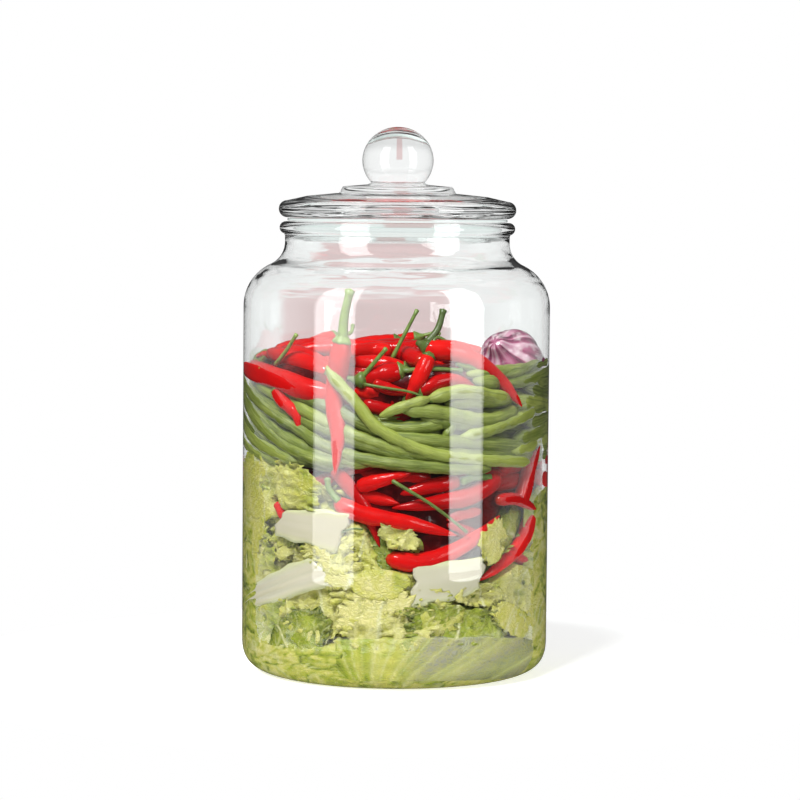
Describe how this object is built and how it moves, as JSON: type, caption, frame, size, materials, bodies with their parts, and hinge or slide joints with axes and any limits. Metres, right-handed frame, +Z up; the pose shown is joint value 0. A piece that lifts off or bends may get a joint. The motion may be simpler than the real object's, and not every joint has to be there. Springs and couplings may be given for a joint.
{
  "type": "glass storage jar of cut vegetables",
  "caption": "Clear glass jar with a ball-knob stopper lid and a clear seal, filled with layers of napa cabbage, red chillies, long green beans and a garlic bulb.",
  "frame": {"origin": "centre of the jar's base, at the surface it stands on", "axes": "+Z up along the jar's axis, -Y the side seen in the picture"},
  "size_m": [0.17, 0.17, 0.303],
  "materials": {
    "jar_glass": "clear, polished",
    "lid_glass": "clear, polished",
    "lid_seal": "clear silicone, satin",
    "cabbage_heap": "raw leaf, semi-matt",
    "chilli_heap_lower": "glossy skin",
    "bean_heap": "raw pod, semi-matt",
    "chilli_heap_top": "glossy skin",
    "garlic_bulb": "papery skin, slight shine"
  },
  "bodies": {
    "root": {"jar_glass": "jar_glass", "lid_glass": "lid_glass", "lid_seal": "lid_seal", "cabbage_heap": "cabbage_heap", "chilli_heap_lower": "chilli_heap_lower", "bean_heap": "bean_heap", "chilli_heap_top": "chilli_heap_top", "garlic_bulb": "garlic_bulb"}
  },
  "joints": []
}
